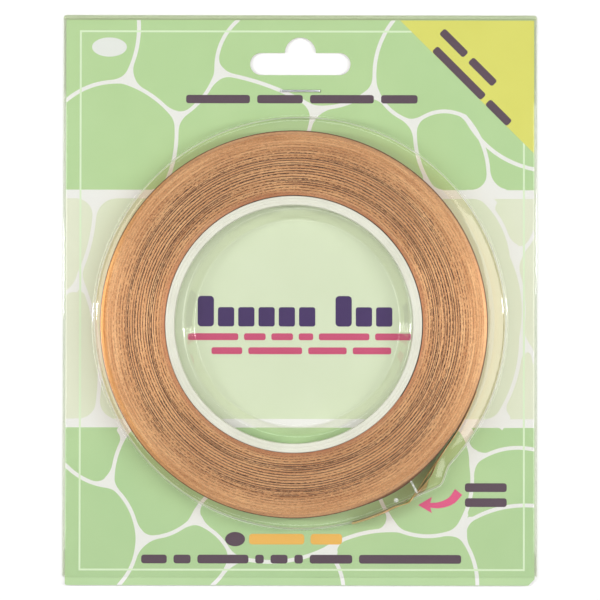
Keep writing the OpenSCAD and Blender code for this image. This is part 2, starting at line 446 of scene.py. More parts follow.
def round_noise(s, place, around, outward, scale):
    """Noise that runs along the turns: fine across the radius, long round the ring."""
    x, y, _ = s.xyz(place)
    radius = s.from_axis(x, y)
    inverse = s.maths("DIVIDE", around, radius)
    unrolled = {0: s.times(x, inverse), 1: s.times(y, inverse), 2: s.times(radius, outward)}
    return s.noise(s.add("ShaderNodeCombineXYZ", unrolled).outputs[0], scale, 3)


def copper_edge_material():
    """Cut edges of the wound foil: soft copper, smeared along the turns, with dark broken lines where the
    turns part, a reddish band by the core and a dark outline round the last turn."""
    s = Shader("copper_edges")
    place = s.place()
    x, y, _ = s.xyz(place)
    radius = s.from_axis(x, y)
    depth = s.add("ShaderNodeMapRange", {"Value": radius, 1: CORE_R * MM, 2: ROLL_R * MM}).outputs[0]
    streaks = round_noise(s, place, 2.2, 900, 1.0)
    patches = s.noise(place, 70, 4)
    grain = s.noise(place, 2600, 2, 0.7)
    dashes = round_noise(s, place, 55.0, 3600, 1.0)

    lines_per_metre = 1180.0
    wander = round_noise(s, place, 1.3, 120, 1.0)
    ripple = s.maths("SINE", s.times(s.maths("MULTIPLY_ADD", radius, lines_per_metre, wander), math.tau))
    thin = s.ramp(s.maths("MULTIPLY_ADD", ripple, 0.5, 0.5), (0.72, 0.0), (0.90, 1.0))
    broken = s.ramp(round_noise(s, place, 48.0, 1240, 1.0), (0.42, 0.05), (0.54, 1.0))
    wound = s.ramp(depth, (0.03, 0.25), (0.12, 1.0), (0.66, 0.95), (0.84, 0.25), (1.0, 0.1))

    colour = s.ramp(streaks, (0.25, srgb(186, 124, 80)), (0.5, srgb(219, 161, 113)),
                    (0.75, srgb(242, 191, 141)))
    for share, over in (
            (s.ramp(patches, (0.35, 0.0), (0.75, 0.4)), srgb(190, 129, 88)),
            (s.ramp(grain, (0.45, 0.0), (0.75, 0.5)), srgb(238, 206, 156)),
            (s.ramp(dashes, (0.52, 0.0), (0.72, 0.5)), srgb(126, 68, 46)),
            (s.ramp(depth, (0.0, 0.6), (0.10, 0.0)), srgb(176, 104, 80)),
            # Painted highlight: a pale pinkish band near the outer edge, standing in for the sheen on the
            # outermost turns
            (s.ramp(depth, (0.925, 0.0), (0.945, 0.25)), srgb(236, 184, 146)),
            (s.times(thin, broken, wound), srgb(84, 46, 30)),
            (s.ramp(depth, (0.975, 0.0), (0.99, 0.75)), srgb(96, 60, 42))):
        colour = s.mix(share, colour, over)
    rough = s.maths("MULTIPLY_ADD", grain, 0.15, 0.40)
    round_it = s.add("ShaderNodeTangent", direction_type="RADIAL", axis="Z").outputs[0]
    return s.principled(Base_Color=colour, Metallic=0.85, Roughness=rough, Anisotropic=0.45,
                        Anisotropic_Rotation=0.25, Tangent=round_it, Normal=s.bump(grain, 0.35, 0.00005))


def foil_face_material():
    """Rolled foil face: bright copper with fine lengthwise rolling marks and soft creases."""
    s = Shader("copper_foil")
    place = s.place()
    marks = s.noise(s.stretched(place, (1, 1, 14)), 260, 3)
    crease = s.noise(place, 210, 2)
    colour = s.ramp(marks, (0.3, srgb(214, 150, 100)), (0.7, srgb(250, 196, 146)))
    return s.principled(Base_Color=colour, Metallic=1.0, Roughness=s.maths("MULTIPLY_ADD", marks, 0.18, 0.2),
                        Normal=s.bump(crease, 0.35, 0.0003))


def grained_material(name, dark, light, grain, stretch, rough, relief, metal=0.0):
    """A surface whose fine grain shows in its colour, its gloss and its relief."""
    s = Shader(name)
    fine = s.noise(s.stretched(s.place(), stretch), *grain)
    return s.principled(Base_Color=s.ramp(fine, (0.3, dark), (0.7, light)), Metallic=metal,
                        Roughness=s.maths("MULTIPLY_ADD", fine, *rough), Normal=s.bump(fine, 0.3, relief))


def paper_material(name, dark, light):
    """Release paper or adhesive: brown, slightly waxy, with fibre."""
    return grained_material(name, dark, light, (1500, 4), (1, 1, 3), (0.2, 0.5), 0.00004)


def core_material():
    s = Shader("white_core")
    place = s.place()
    grain = s.noise(place, 1200, 3)
    cloud = s.noise(place, 90, 2)
    tone = s.ramp(cloud, (0.3, srgb(228, 226, 213)), (0.7, srgb(238, 236, 225)))
    return s.principled(Base_Color=tone, Roughness=s.maths("MULTIPLY_ADD", grain, 0.15, 0.26),
                        Normal=s.bump(grain, 0.15, 0.00005))


def steel_material():
    return grained_material("staple_wire", srgb(150, 152, 156), srgb(214, 216, 220), (500, 3), (1, 40, 40),
                            (0.2, 0.18), 0.00003, metal=1.0)


def floor_material():
    s = Shader("studio_floor")
    tone = s.noise(s.place(), 3, 2)
    return s.principled(Base_Color=s.ramp(tone, (0.3, 0.985), (0.7, 1.0)), Roughness=0.8)


PLASTIC = plastic_material()
RIB_GLINT = rib_glint_material()
COPPER_EDGE = copper_edge_material()
FOIL_FACE = foil_face_material()
LINER = paper_material("release_paper", srgb(176, 146, 82), srgb(222, 196, 130))
ADHESIVE = paper_material("dark_adhesive", srgb(66, 38, 26), srgb(108, 66, 44))


# ---------------- blister

SPOUT_CORNERS = [polar(CHAMBER_R, SPOUT_START), polar(SPOUT_REACH, SPOUT_TURN), polar(CHAMBER_R, SPOUT_END)]
FLANGE_EDGE = [SHELL_LOW[0] + SHEET_T / 2, SHELL_HIGH[0] - SHEET_T / 2,
               SHELL_LOW[1] + SHEET_T / 2, SHELL_HIGH[1] - SHEET_T / 2]


def wall_radius(degrees):
    """The chamber's outer wall, from its centre: a circle with the spout's two flat faces."""
    if not SPOUT_END <= degrees <= SPOUT_START:
        return CHAMBER_R
    first, second = SPOUT_CORNERS[:2] if degrees > SPOUT_TURN else SPOUT_CORNERS[1:]
    ray, along = polar(1, degrees), second - first
    cross = ray[0] * along[1] - ray[1] * along[0]
    return max(CHAMBER_R, (first[0] * along[1] - first[1] * along[0]) / cross)


def edge_point(degrees):
    """Where a ray from the chamber's centre leaves the flange, and whether that side is turned over."""
    ray = polar(1, degrees)
    x0, x1, y0, y1 = FLANGE_EDGE
    across = ((x1 if ray[0] > 0 else x0) - CHAMBER_C[0]) / ray[0] if abs(ray[0]) > 1e-9 else 1e9
    along = ((y1 if ray[1] > 0 else y0) - CHAMBER_C[1]) / ray[1] if abs(ray[1]) > 1e-9 else 1e9
    return CHAMBER_C + ray * min(across, along), across <= along + 1e-6 or ray[1] > 0


def inset(edge, depth, open_end=False):
    """A point of the flange's round-cornered outline, moved in. The lips run on to the open end."""
    x0, x1, y0, y1 = FLANGE_EDGE
    if depth < CORNER_R:
        core = np.array([np.clip(edge[0], x0 + CORNER_R, x1 - CORNER_R),
                         np.clip(edge[1], y0 + CORNER_R, y1 - CORNER_R)])
        return core + unit(edge - core) * (CORNER_R - depth)
    low = y0 if open_end else y0 + depth
    return np.array([np.clip(edge[0], x0 + depth, x1 - depth), np.clip(edge[1], low, y1 - depth)])


def blister_columns(count=720):
    """Angles round the chamber, with more of them round the flange's corners."""
    corners = [math.degrees(math.atan2(y - CHAMBER_C[1], x - CHAMBER_C[0]))
               for x in FLANGE_EDGE[:2] for y in FLANGE_EDGE[2:]]
    angles = [-180 + 360 * i / count for i in range(count)]
    angles = [a for a in angles if all(abs(a - c) > 0.7 for c in corners)]
    near = (-0.65, -0.45, -0.25, -0.1, 0, 0.1, 0.25, 0.45, 0.65)
    return sorted([*angles, *(c + step for c in corners for step in near)])


def softened_walls(angles, step=0.25, window=15):
    """The outer wall's radius at each angle, with the spout's corners rounded."""
    fine = np.array([wall_radius(-180 + step * i) for i in range(int(360 / step))])
    kernel = np.hanning(window)[1:-1]
    fine = sum(w * np.roll(fine, k - len(kernel) // 2) for k, w in enumerate(kernel)) / kernel.sum()
    return [np.interp((a + 180) / step, range(len(fine) + 1), [*fine, fine[0]]) for a in angles]


def blister_shell():
    """One thin sheet in columns round the chamber: well, hub, roof, outer wall, flange and turned edge."""
    angles = blister_columns()
    hub_foot = HUB_R - HUB_LEAN
    hub = round_path([[0, FLANGE_Z], [hub_foot, FLANGE_Z], [HUB_R, ROOF_Z], [HUB_R + 9, ROOF_Z]], [0.8, 1.1])
    hub = [[r, FLANGE_Z] for r in (6, 12, 18, 24, 29)] + hub[1:]
    lip = SHEET_T / 2
    fold = round_path([[1.2, FLANGE_Z], [0, FLANGE_Z], [0, lip], [LIP_W, lip]], [0.35, 0.35], 3)
    edge_row = 4
    points, folded = [], []
    for angle, wall in zip(angles, softened_walls(angles)):
        ray = polar(1, angle)
        column = [np.array([*(HUB_C + ray * r), z]) for r, z in hub]
        outer = round_path([[wall - 8, ROOF_Z], [wall - WALL_LEAN, ROOF_Z],
                            [wall, FLANGE_Z], [wall + 2.2, FLANGE_Z]], [1.0, 0.6])
        # The roof rounds off sooner on the right, where the gap beside the roll is wide
        level_to = wall - (3.2 + 4.0 * max(0.0, ray[0]))
        outer = [outer[0], [level_to, ROOF_Z], *outer[1:-1], [wall + 0.8, FLANGE_Z], outer[-1]]
        column += [np.array([*(CHAMBER_C + ray * r), z]) for r, z in outer]
        edge, turned = edge_point(angle)
        ring, rim = column[-1][:2], inset(edge, fold[0][0])
        column += [np.array([*(ring + (rim - ring) * share), FLANGE_Z]) for share in (0.35, 0.7)]
        for k, (depth, z) in enumerate(fold):
            flat = not turned or k == 0
            column.append(np.array([*inset(edge, depth, k > edge_row), FLANGE_Z if flat else z]))
        points.append([settle(p) for p in column])
        folded.append(turned)
    rows, count = len(points[0]), len(points)
    flat_rows = rows - len(fold) + edge_row
    flat = [p for column in points for p in column] + [np.array([*HUB_C, FLANGE_Z])]
    faces = []
    for i in range(count):
        j = (i + 1) % count
        faces.append((len(flat) - 1, i * rows, j * rows))
        last = rows - 1 if folded[i] and folded[j] else flat_rows
        for k in range(last):
            faces.append((i * rows + k, i * rows + k + 1, j * rows + k + 1, j * rows + k))
    shell = mesh_piece("blister", flat, faces, [PLASTIC])
    tidy_mesh(shell)
    shell.modifiers.new("thickness", "SOLIDIFY").thickness = SHEET_T * MM
    shell.modifiers["thickness"].offset = 0
    apply_modifiers(shell)
    slot = prism(slot_outline(), -3, CARD_TOP + 3)
    cut_away(shell, [slot, slit_cutter(), *pierce_cutters()], [mound(*m) for m in MOUNDS])
    sharpen(shell, 35)
    return shell


def settle(p):
    """The small unevenness of a formed sheet: the flange lifts a little and the roof sinks a little."""
    ripple = abs(wave(p[0] / 21, p[1] / 21, p[2] / 9)) * 0.06
    if p[2] >= ROOF_Z - 0.3:
        p[2] -= ripple
    elif p[2] >= FLANGE_Z - 0.01:
        p[2] += ripple * (1 if p[2] < FLANGE_Z + 0.3 else 0)
    return p


def mound(place, turned, length, width):
    """A small raised rib with round ends, to be joined to the roof."""
    r, high, low = width / 2, SHELL_HIGH[2] - 0.02, ROOF_Z - 0.1
    steps, levels = 8, 4
    turn = np.array([polar(1, turned), polar(1, turned + 90)])
    rings = []
    for level in range(levels + 1):
        up = level / levels
        shrink = math.sqrt(max(0.02, 1 - (up * 0.96) ** 2))
        outline = [p for end, start in ((1, -90), (-1, 90))
                   for p in arc((end * (length / 2 - r), 0), r * shrink, start, 180, steps)]
        rings.append([(*(np.array(place) + p @ turn), low + (high - low) * up) for p in outline])
    return mesh_piece("mound", *lofted(rings), [RIB_GLINT])


def tidy_mesh(piece):
    """Drops points that no face uses and makes the faces agree."""
    work = bmesh.new()
    work.from_mesh(piece.data)
    bmesh.ops.remove_doubles(work, verts=work.verts, dist=2e-6)
    bmesh.ops.delete(work, geom=[v for v in work.verts if not v.link_faces], context="VERTS")
    bmesh.ops.recalc_face_normals(work, faces=work.faces)
    work.to_mesh(piece.data)
    work.free()


def finished(piece, degrees):
    tidy_mesh(piece)
    sharpen(piece, degrees)
    return piece


def lofted(rings):
    """Points and faces of a closed solid through rings of the same number of points."""
    n, points = len(rings[0]), [p for ring in rings for p in ring]
    faces = [(a * n + i, a * n + (i + 1) % n, (a + 1) * n + (i + 1) % n, (a + 1) * n + i)
             for a in range(len(rings) - 1) for i in range(n)]
    return points, [*faces, tuple(reversed(range(n))), tuple(range(len(points) - n, len(points)))]


def prism(outline, low, high):
    """A closed upright solid on a closed outline, in mm."""
    points, faces = lofted([[(x, y, z) for x, y in outline] for z in (low, high)])
    return mesh_piece("cutter", points, faces, [PLASTIC], smooth=False)


def slot_outline(steps=20):
    """The hang slot, counter-clockwise from the right end's bottom."""
    half, r, top = (SLOT_W - SLOT_H) / 2, SLOT_H / 2, SLOT_UP + SLOT_H / 2
    return [*arc((half, SLOT_UP), r, -90, 180, steps), *arc((0, top), SLOT_BUMP_R, 0, 180, steps),
            *arc((-half, SLOT_UP), r, 90, 180, steps)]


def tape_ahead():
    """The way that the tape runs from the roll to the slit."""
    return np.array([math.sin(math.radians(LEAVE_ANGLE)), -math.cos(math.radians(LEAVE_ANGLE))])


def slit_cutter():
    ahead, half_length, half_width = tape_ahead(), 3.2, 0.7
    side = np.array([-ahead[1], ahead[0]])
    middle = HINGE - ahead
    corners = ((-1, -1), (1, -1), (1, 1), (-1, 1))
    box = [middle + ahead * a * half_length + side * b * half_width for a, b in corners]
    return prism(box, FLANGE_Z + SHEET_T, TAPE_HIGH[2] + 0.3)


def pierce_cutters():
    y, reach = (STAPLE_LOW[1] + STAPLE_HIGH[1]) / 2, (STAPLE_HIGH[0] - STAPLE_LOW[0]) / 2 - 0.2
    square = [(-0.28, -0.42), (0.28, -0.42), (0.28, 0.42), (-0.28, 0.42)]
    return [prism([(s * reach + a, y + b) for a, b in square], CARD_TOP, CARD_TOP + 2) for s in (-1, 1)]


def cut_away(piece, cutters, joined=()):
    for operation, tools in (("DIFFERENCE", cutters), ("UNION", joined)):
        for tool in tools:
            tidy_mesh(tool)
            cut = piece.modifiers.new("cut", "BOOLEAN")
            cut.operation, cut.solver, cut.object = operation, "EXACT", tool
            if tool in joined:
                cut.material_mode = "TRANSFER"
    apply_modifiers(piece)
    for tool in (*cutters, *joined):
        bpy.data.objects.remove(tool)


shell = blister_shell()
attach(shell, "pack")
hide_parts("blister_shell")


# ---------------- wound tape

def winding():
    """One strip wound from the core outwards, clockwise, with its cut edges up.

    Each turn is a copper land and a dark groove, wide and deep at a loose turn and a hairline at a tight one.
    The last turns stand off in a bulge before the tape leaves."""
    columns, inner = 240, CORE_R + 0.05
    bulge, bulge_angle, bulge_spread = 0.75, -57, 9
    pitch = (ROLL_R - inner) / (TAPE_TURNS + 1)
    rng = random.Random(7)
    loose = []
    while len(loose) < TAPE_TURNS + 2:
        loose += [rng.uniform(0.0, 0.12) for _ in range(rng.choice((2, 3, 3, 4)))]
        loose += [rng.uniform(0.75, 1.0)]
    per_turn = 4
    points, faces, kinds = [], [], []
    gaps = [[0.0] * (TAPE_TURNS + 2) for _ in range(columns)]
    rows = TAPE_TURNS * per_turn + 1
    for j in range(columns):
        share = j / columns
        angle = LEAVE_ANGLE - 360 * share
        ray = polar(1, angle)
        for i in range(rows):
            turn, part = divmod(i, per_turn)
            depth = (turn + share) / (TAPE_TURNS + 1)
            busy = 0.12 + 0.88 * math.exp(-((depth - 0.40) / 0.34) ** 4)
            swell = 0.5 + 0.5 * wave(ray[0] * 1.9, ray[1] * 1.9, turn * 0.16 + 3)
            fine = 0.5 + 0.5 * wave(ray[0] * 14, ray[1] * 14, turn * 1.7)
            gap = loose[turn] * busy * min(1.0, 0.1 + 2.0 * swell) * (0.7 + 0.3 * fine)
            gaps[j][turn] = gap
            width = 0.04 + 0.5 * gap
            offset = (0.0, 0.2 * width, 0.8 * width, width)[part]
            r = inner + pitch * (turn + offset + share)
            outwards = ((r - inner) / (ROLL_R - inner)) ** 6
            r += bulge * math.exp(-((angle - bulge_angle) / bulge_spread) ** 2) * outwards
            height = 0.04 * wave(ray[0] * 2.5, ray[1] * 2.5, r * 0.55) + 0.03 * wave(ray[0], ray[1], r * 3.1)
            if part in (1, 2):
                height -= 0.04 + 0.22 * gap
            rim = max(0.0, (r - ROLL_R + 1.3) / 1.3)
            points.append((*(ROLL_C + ray * r), TAPE_HIGH[2] - 0.07 + height - 0.35 * rim))
    for j in range(columns):
        after = (j + 1) % columns
        shift = per_turn if after == 0 else 0
        for i in range(rows - 1):
            if i + 1 + shift >= rows:
                break
            a, b = j * rows + i, after * rows + i + shift
            faces.append((a, a + 1, b + 1, b))
            kind = (2, 2, 1, 2 if gaps[j][i // per_turn] > SPREAD_GAP else 0)[i % per_turn]
            kinds.append(kind if i < rows - 5 else 2)
    return close_winding(points, faces, kinds, columns, rows, per_turn)


def close_winding(points, faces, kinds, columns, rows, per_turn):
    """Adds the winding's inner wall, outer wall, back and the two ends of the tape."""
    base = len(points)
    low = TAPE_LOW[2] + 0.05
    for j in range(columns):
        for i in (0, rows - 1):
            x, y, _ = points[j * rows + i]
            points.append((x, y, low))
    for j in range(columns - 1):
        inner_top, inner_next = j * rows, (j + 1) * rows
        outer_top, outer_next = inner_top + rows - 1, inner_next + rows - 1
        inner_low, outer_low = base + 2 * j, base + 2 * j + 1
        faces.append((inner_top, inner_next, inner_low + 2, inner_low))
        faces.append((outer_next, outer_top, outer_low, outer_low + 2))
        faces.append((inner_low, inner_low + 2, outer_low + 2, outer_low))
        kinds += [2, 3, 2]
    last = columns - 1
    seam_top = [last * rows + i for i in range(rows - 1 - per_turn, rows)]
    extra_inner, extra_outer = len(points), len(points) + 1
    points.append((*points[per_turn][:2], low))
    points.append((*points[last * rows + rows - 1 - per_turn][:2], low))
    end_low = base + 2 * last
    faces.append((last * rows, per_turn, extra_inner, end_low))
    faces.append((rows - 1, seam_top[0], extra_outer, base + 1))
    faces.append((*reversed(range(per_turn + 1)), base, extra_inner))
    faces.append((*seam_top, end_low + 1, extra_outer))
    faces.append((base, extra_inner, end_low, end_low + 1, extra_outer, base + 1))
    kinds += [2, 3, 2, 3, 2]
    materials = [COPPER_EDGE, LINER, ADHESIVE, FOIL_FACE]
    roll = mesh_piece("winding", points, faces, materials, kinds, at=(*ROLL_C, 0))
    sharpen(roll, 50)
    return roll


roll = winding()
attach(roll, "roll")
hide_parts("foil_winding")


def core_ring(count=256):
    """The core: a moulded ring with rounded rims and a shallow groove round each face."""
    low, high, inner, outer = CORE_LOW[2], CORE_HIGH[2], CORE_BORE_R, CORE_R
    middle = (low + high) / 2
    sunk = high - 0.18
    dish = [[inner + 1.0, high], [inner + 1.25, sunk], [outer - 1.0, sunk], [outer - 0.75, high]]
    half = [[inner, middle], [inner, high], *dish, [outer, high], [outer, middle]]
    top = round_path(half, [0.35, 0.1, 0.1, 0.1, 0.1, 0.35], 4)
    bottom = [[r, 2 * middle - z] for r, z in reversed(top)]
    section = [*top, *bottom[1:-1]]
    n = len(section)
    points = [(*(ROLL_C + polar(r, 360 * j / count)), z) for j in range(count) for r, z in section]
    faces = [(j * n + i, k * n + i, k * n + (i + 1) % n, j * n + (i + 1) % n)
             for j, k in zip(range(count), [*range(1, count), 0]) for i in range(n)]
    ring = mesh_piece("core_ring", points, faces, [core_material()], at=(*ROLL_C, 0))
    return finished(ring, 60)


core = core_ring()
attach(core, "roll")
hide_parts("roll_core")


# ---------------- tape from the roll to its free end

def tape_route():
    """The tape's line seen from above, in mm: off the roll, through the slit and along the wall."""
    ahead, on_roll, lift = tape_ahead(), ROLL_R + 0.12, 0.3
    off_roll = [ROLL_C + polar(on_roll + lift * (1 - k / 6) ** 2, LEAVE_ANGLE + 14 * k / 6)
                for k in range(6, 0, -1)]
    leave = ROLL_C + polar(on_roll + lift, LEAVE_ANGLE)
    straight = [leave + (HINGE - ahead * 0.9 - leave) * k / 8 for k in range(9)]
    corner = CHAMBER_C + polar(CHAMBER_R, SPOUT_END)
    face_out = unit(corner - CHAMBER_C)
    outside = CHAMBER_R + FREE_END_OFF
    wall = [CHAMBER_C + polar(outside, a) for a in np.arange(SPOUT_END - 2, FREE_END_ANGLE, -1.5)]
    along = unit(corner + face_out * FREE_END_OFF - HINGE)
    turn = [HINGE + along * 0.9]
    return np.array([*off_roll, *straight, *turn, corner + face_out * FREE_END_OFF, *wall])


def tape_sway(before_slit, foil):
    """How far the tape's lower and upper edges stand out from its route, by the distance left to the slit.

    The foil parts from its release paper and leans over before the slit; past it both lean on the wall."""
    if before_slit < 0:
        settled = min(1.0, -before_slit / 5)
        return 0.0, -0.75 * settled
    if not foil:
        return 0.25 * math.exp(-((before_slit - 6) / 3.2) ** 2), 0.0
    lean = 2.0 * math.exp(-((before_slit - 6.2) / 2.9) ** 2)
    parted = 0.8 * math.exp(-((before_slit - 10.5) / 3.6) ** 2)
    return lean + 0.9 * parted, parted + 0.12 * lean


def tape_strip(name, near, far, materials):
    """A closed strip between two offsets from the tape's route, standing on its edge."""
    route = smooth_line(tape_route(), 4)
    side = normals_2d(route)
    low, high, layers = TAPE_LOW[2] + 0.12, TAPE_HIGH[2] + 0.1, 6
    length = distances(route)
    slit_at = length[int(np.argmin(np.linalg.norm(route - HINGE, axis=1)))]
    heights = [k / layers for k in range(layers + 1)]
    section = [(near, up) for up in heights] + [(far, up) for up in reversed(heights)]
    rings = []
    for i, (p, n) in enumerate(zip(route, side)):
        below, above = tape_sway(slit_at - length[i], far > 0)
        curl = 0.10 * wave(length[i] / 6, 1.5)
        ring = []
        for offset, up in section:
            shift = below + (above - below) * up + curl * math.sin(math.pi * up)
            ring.append((*(p + n * (offset + shift)), low + (high - low) * up))
        rings.append(ring)
    return finished(mesh_piece(name, *lofted(rings), materials), 50)


for name, near, far, material, slot, nodes in (
        ("tape_foil", 0.0, 0.09, FOIL_FACE, "copper_foil", ("foil_lead", "foil_tail")),
        ("tape_liner", -0.12, -0.01, LINER, "release_paper", ("liner_lead", "liner_tail"))):
    strip = tape_strip(name, near, far, [material])
    towards = unit(CHAMBER_C + polar(CHAMBER_R + FREE_END_OFF, SPOUT_END) - HINGE)
    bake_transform(strip)
    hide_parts(*nodes)


# ---------------- card and its print

card = frame["nodes"]["backing_card"]
card.data.materials.clear()
card.data.materials.append(card_material())

INK_STEP = 0.0006


def spans(x0, x1, lengths, gap=0.8):
    """Where each word of a line starts, its letters, and the width of one."""
    letter = (x1 - x0) / (sum(lengths) + gap * (len(lengths) - 1))
    x = x0
    for n in lengths:
        yield x, n, letter
        x += (n + gap) * letter


class Ink:
    """Flat printed shapes of one ink, each a hair above the last so that none lie in one plane."""

    def __init__(self, name, colour, level):
        self.name, self.z = name, CARD_TOP + level
        self.material = ink(name, colour)
        self.points, self.faces = [], []

    def shape(self, outline):
        start = len(self.points)
        self.points += [(x, y, self.z) for x, y in outline]
        self.faces.append(tuple(range(start, len(self.points))))
        self.z += INK_STEP

    def disc(self, centre, rx, ry=None, steps=28):
        size = np.array([rx, ry or rx])
        self.shape([np.asarray(centre) + polar(1, 360 * k / steps) * size for k in range(steps)])

    def box(self, x0, y0, x1, y1):
        self.shape([(x0, y0), (x1, y0), (x1, y1), (x0, y1)])

    def bar(self, x0, x1, y, height, turned=0.0, about=(0, 0), round_by=0.3):
        """A round-cornered bar, such as stands for a word."""
        r = height * round_by
        corners = [(x1 - r, y + height / 2 - r, 0), (x0 + r, y + height / 2 - r, 90),
                   (x0 + r, y - height / 2 + r, 180), (x1 - r, y - height / 2 + r, 270)]
        outline = [p for cx, cy, a in corners for p in arc((cx, cy), r, a, 90, 4)]
        turn = np.array([polar(1, turned), polar(1, turned + 90)])
        self.shape([np.array(about) + (p @ turn) for p in outline])

    def words(self, x0, x1, y, height, lengths, turned=0.0, about=(0, 0)):
        """A row of bars as long as the words that they stand for."""
        for x, n, letter in spans(x0, x1, lengths):
            self.bar(x, x + n * letter, y, height, turned, about)

    def tiles(self, x0, x1, foot, heights, counts):
        """Groups of plain tiles on one line, the first of each group taller."""
        for x, n, pitch in spans(x0, x1, counts):
            for k in range(n):
                tall = heights[0] if k == 0 else heights[1]
                self.bar(x + pitch * (k + 0.1), x + pitch * (k + 0.9), foot + tall / 2, tall, round_by=0.12)

    def stroke(self, line, half, other_half=None):
        """A ribbon along a line, with a half width for each of its points and each of its sides."""
        side = normals_2d(line)
        right_half = half if other_half is None else other_half
        left = line + side * np.asarray(half)[:, None]
        right = line - side * np.asarray(right_half)[:, None]
        start = len(self.points)
        self.points += [(x, y, self.z) for pair in zip(left, right) for x, y in pair]
        self.faces += [(start + 2 * i, start + 2 * i + 1, start + 2 * i + 3, start + 2 * i + 2)
                       for i in range(len(line) - 1)]
        self.z += INK_STEP

    def finish(self):
        piece = mesh_piece(self.name, self.points, self.faces, [self.material], smooth=False)
        work = bmesh.new()
        work.from_mesh(piece.data)
        for axis in (0, 1):
            for edge, outward in ((CARD_LOW[axis] + 0.1, -1), (CARD_HIGH[axis] - 0.1, 1)):
                place, normal = Vector((0, 0, 0)), Vector((0, 0, 0))
                place[axis], normal[axis] = edge * MM, outward
                whole = work.verts[:] + work.edges[:] + work.faces[:]
                bmesh.ops.bisect_plane(work, geom=whole, plane_co=place, plane_no=normal, clear_outer=True)
        for face in work.faces:
            face.normal_update()
            if face.normal.z < 0:
                face.normal_flip()
        work.to_mesh(piece.data)
        work.free()
        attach(piece, "pack")
        return piece


LEFT, RIGHT, TOP, BOTTOM = CARD_LOW[0], CARD_HIGH[0], CARD_HIGH[1], CARD_LOW[1]
BAND_UP, BAND_DOWN, BAND_HALF = PANEL_TOP, PANEL_LOW - 0.15, 1.4
LINE_HALF = 0.62
FILLET_R, FILLET_REACH = 6.0, 7.0
# The leading of an imagined window: straight runs between round-number joints, and how far each one bows
LEADING = [
    ((LEFT, 64), (-57, 70), 0.10), ((-57, 70), (-52, TOP), -0.08), ((-57, 70), (-40, 58), 0.08),
    ((-40, 58), (-27, 73), -0.10), ((-27, 73), (-20, TOP), 0.12), ((-27, 73), (4, 62), 0.05),
    ((-40, 58), (-45, BAND_UP), 0.08), ((4, 62), (24, 69), -0.12), ((4, 62), (-6, 40), 0.10),
    ((24, 69), (30, TOP), 0.10), ((24, 69), (37, 57), -0.14), ((37, 57), (53, 59), 0.16),
    ((37, 57), (44, BAND_UP), -0.10), ((53, 59), (RIGHT, 42), -0.12), ((53, 59), (60, BAND_UP), 0.12),
    ((-66, BAND_UP), (-71, 8), 0.06), ((-71, 8), (LEFT, 2), 0.10), ((-71, 8), (-66, BAND_DOWN), 0.08),
    ((57, BAND_UP), (68, 14), 0.10), ((68, 14), (RIGHT, 22), -0.12), ((68, 14), (71, -12), 0.08),
    ((71, -12), (RIGHT, -20), 0.10), ((71, -12), (62, BAND_DOWN), 0.08),
    ((LEFT, -53), (-60, -60), -0.10), ((-60, -60), (-53, BAND_DOWN), 0.10), ((-60, -60), (-52, -76), 0.10),
    ((-52, -76), (-58, BOTTOM), 0.10), ((-52, -76), (-35, -71), -0.12), ((-35, -71), (-22, -58), 0.10),
    ((-35, -71), (-22, -82), 0.12), ((-22, -82), (-28, BOTTOM), 0.08), ((-22, -82), (8, -80), -0.10),
    ((8, -80), (14, BOTTOM), 0.10), ((8, -80), (32, -74), 0.08), ((32, -74), (24, -58), 0.06),
    ((32, -74), (50, -74), -0.10), ((50, -74), (57, BOTTOM), 0.10), ((50, -74), (RIGHT, -66), 0.10),
    ((50, -74), (55, -53), -0.10), ((55, -53), (RIGHT, -48), 0.12), ((55, -53), (50, BAND_DOWN), -0.10),
]


def bowed(start, end, bow, steps=72):
    """A curve that bows to the left by a share of its length, with its points closer at its ends."""
    a, b = np.array(start, float), np.array(end, float)
    across = np.array([a[1] - b[1], b[0] - a[0]])
    pull = (a + b) / 2 + across * bow * 2
    t = (0.5 - 0.5 * np.cos(np.linspace(0, math.pi, steps)))[:, None]
    return (1 - t) ** 2 * a + 2 * t * (1 - t) * pull + t * t * b


def flared(away, turn, half, other):
    """How far a line's edge stands off its middle near a joint: an arc tangent to both lines there."""
    if not 0.2 < turn < 3.0:
        return np.full(len(away), half)
    r = max(0.1, min(FILLET_R, FILLET_REACH * math.tan(turn / 2) - half))
    reach = ((r + other) + (r + half) * math.cos(turn)) / math.sin(turn)
    arc = r + half - np.sqrt(r * r - np.clip(reach - away, 0, r) ** 2)
    mitre = away * math.tan(turn / 2) + 0.3 if other == half else r + half
    return np.maximum(half, np.minimum(arc, mitre))


def free_levels(runs):
    """A level for each run such that no two runs at one joint share a level."""
    levels = []
    for i, (start, end, _) in enumerate(runs):
        taken = {levels[k] for k in range(i) if {start, end} & {runs[k][0], runs[k][1]}}
        levels.append(min(set(range(len(runs))) - taken))
    return levels


